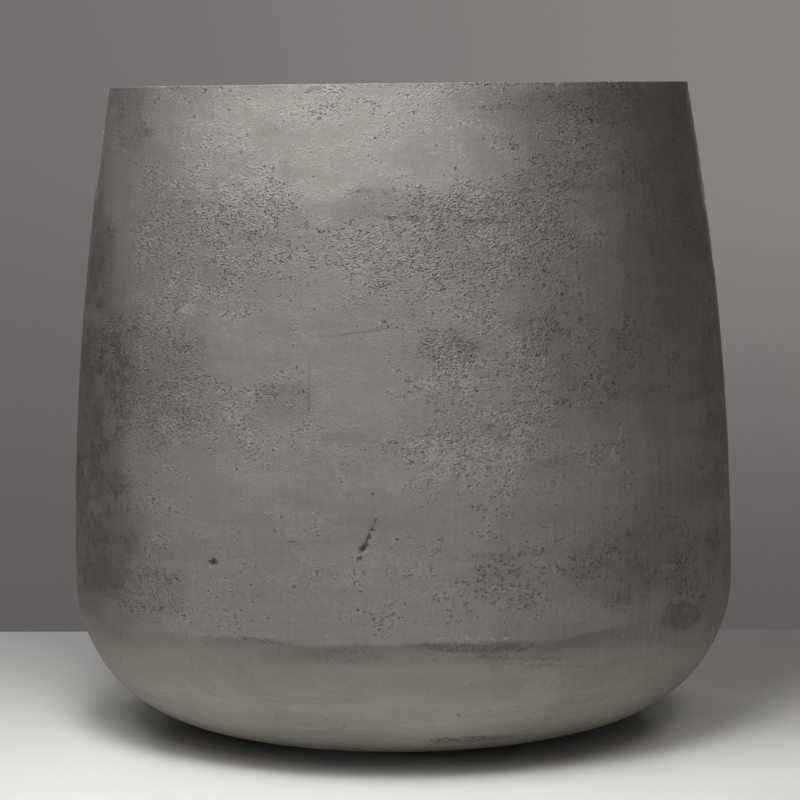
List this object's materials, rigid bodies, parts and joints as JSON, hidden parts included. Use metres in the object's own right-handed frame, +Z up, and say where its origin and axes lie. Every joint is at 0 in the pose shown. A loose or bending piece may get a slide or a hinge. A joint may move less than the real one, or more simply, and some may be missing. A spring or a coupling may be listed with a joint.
{
  "type": "planter",
  "caption": "Round floor planter of cast fibre cement with a rounded heel, a wall leaning in to a thick rim, a waterproof lining, rubber feet and a drain plug that pulls out.",
  "frame": {"origin": "on the floor under the middle of the pot, level with the undersides of the feet", "axes": "+Z is up along the pot's axis; the side seen in the picture faces -Y, and +X is to its right"},
  "size_m": [0.5999, 0.6, 0.575],
  "materials": {
    "fibre_cement": "matte",
    "resin_lining": "satin",
    "drain_plastic": "satin",
    "plug_rubber": "matte",
    "foot_rubber": "matte"
  },
  "bodies": {
    "pot": {"pot_shell": "fibre_cement", "inner_lining": "resin_lining", "drain_sleeve": "drain_plastic", "foot_pad_1": "foot_rubber", "foot_pad_2": "foot_rubber", "foot_pad_3": "foot_rubber", "foot_pad_4": "foot_rubber"},
    "plug": {"drain_plug": "plug_rubber"}
  },
  "joints": [
    {"name": "plug_lift", "type": "slide", "parent": "pot", "child": "plug", "axis": [0, 0, 1], "range_m": [0, 0.6]}
  ]
}
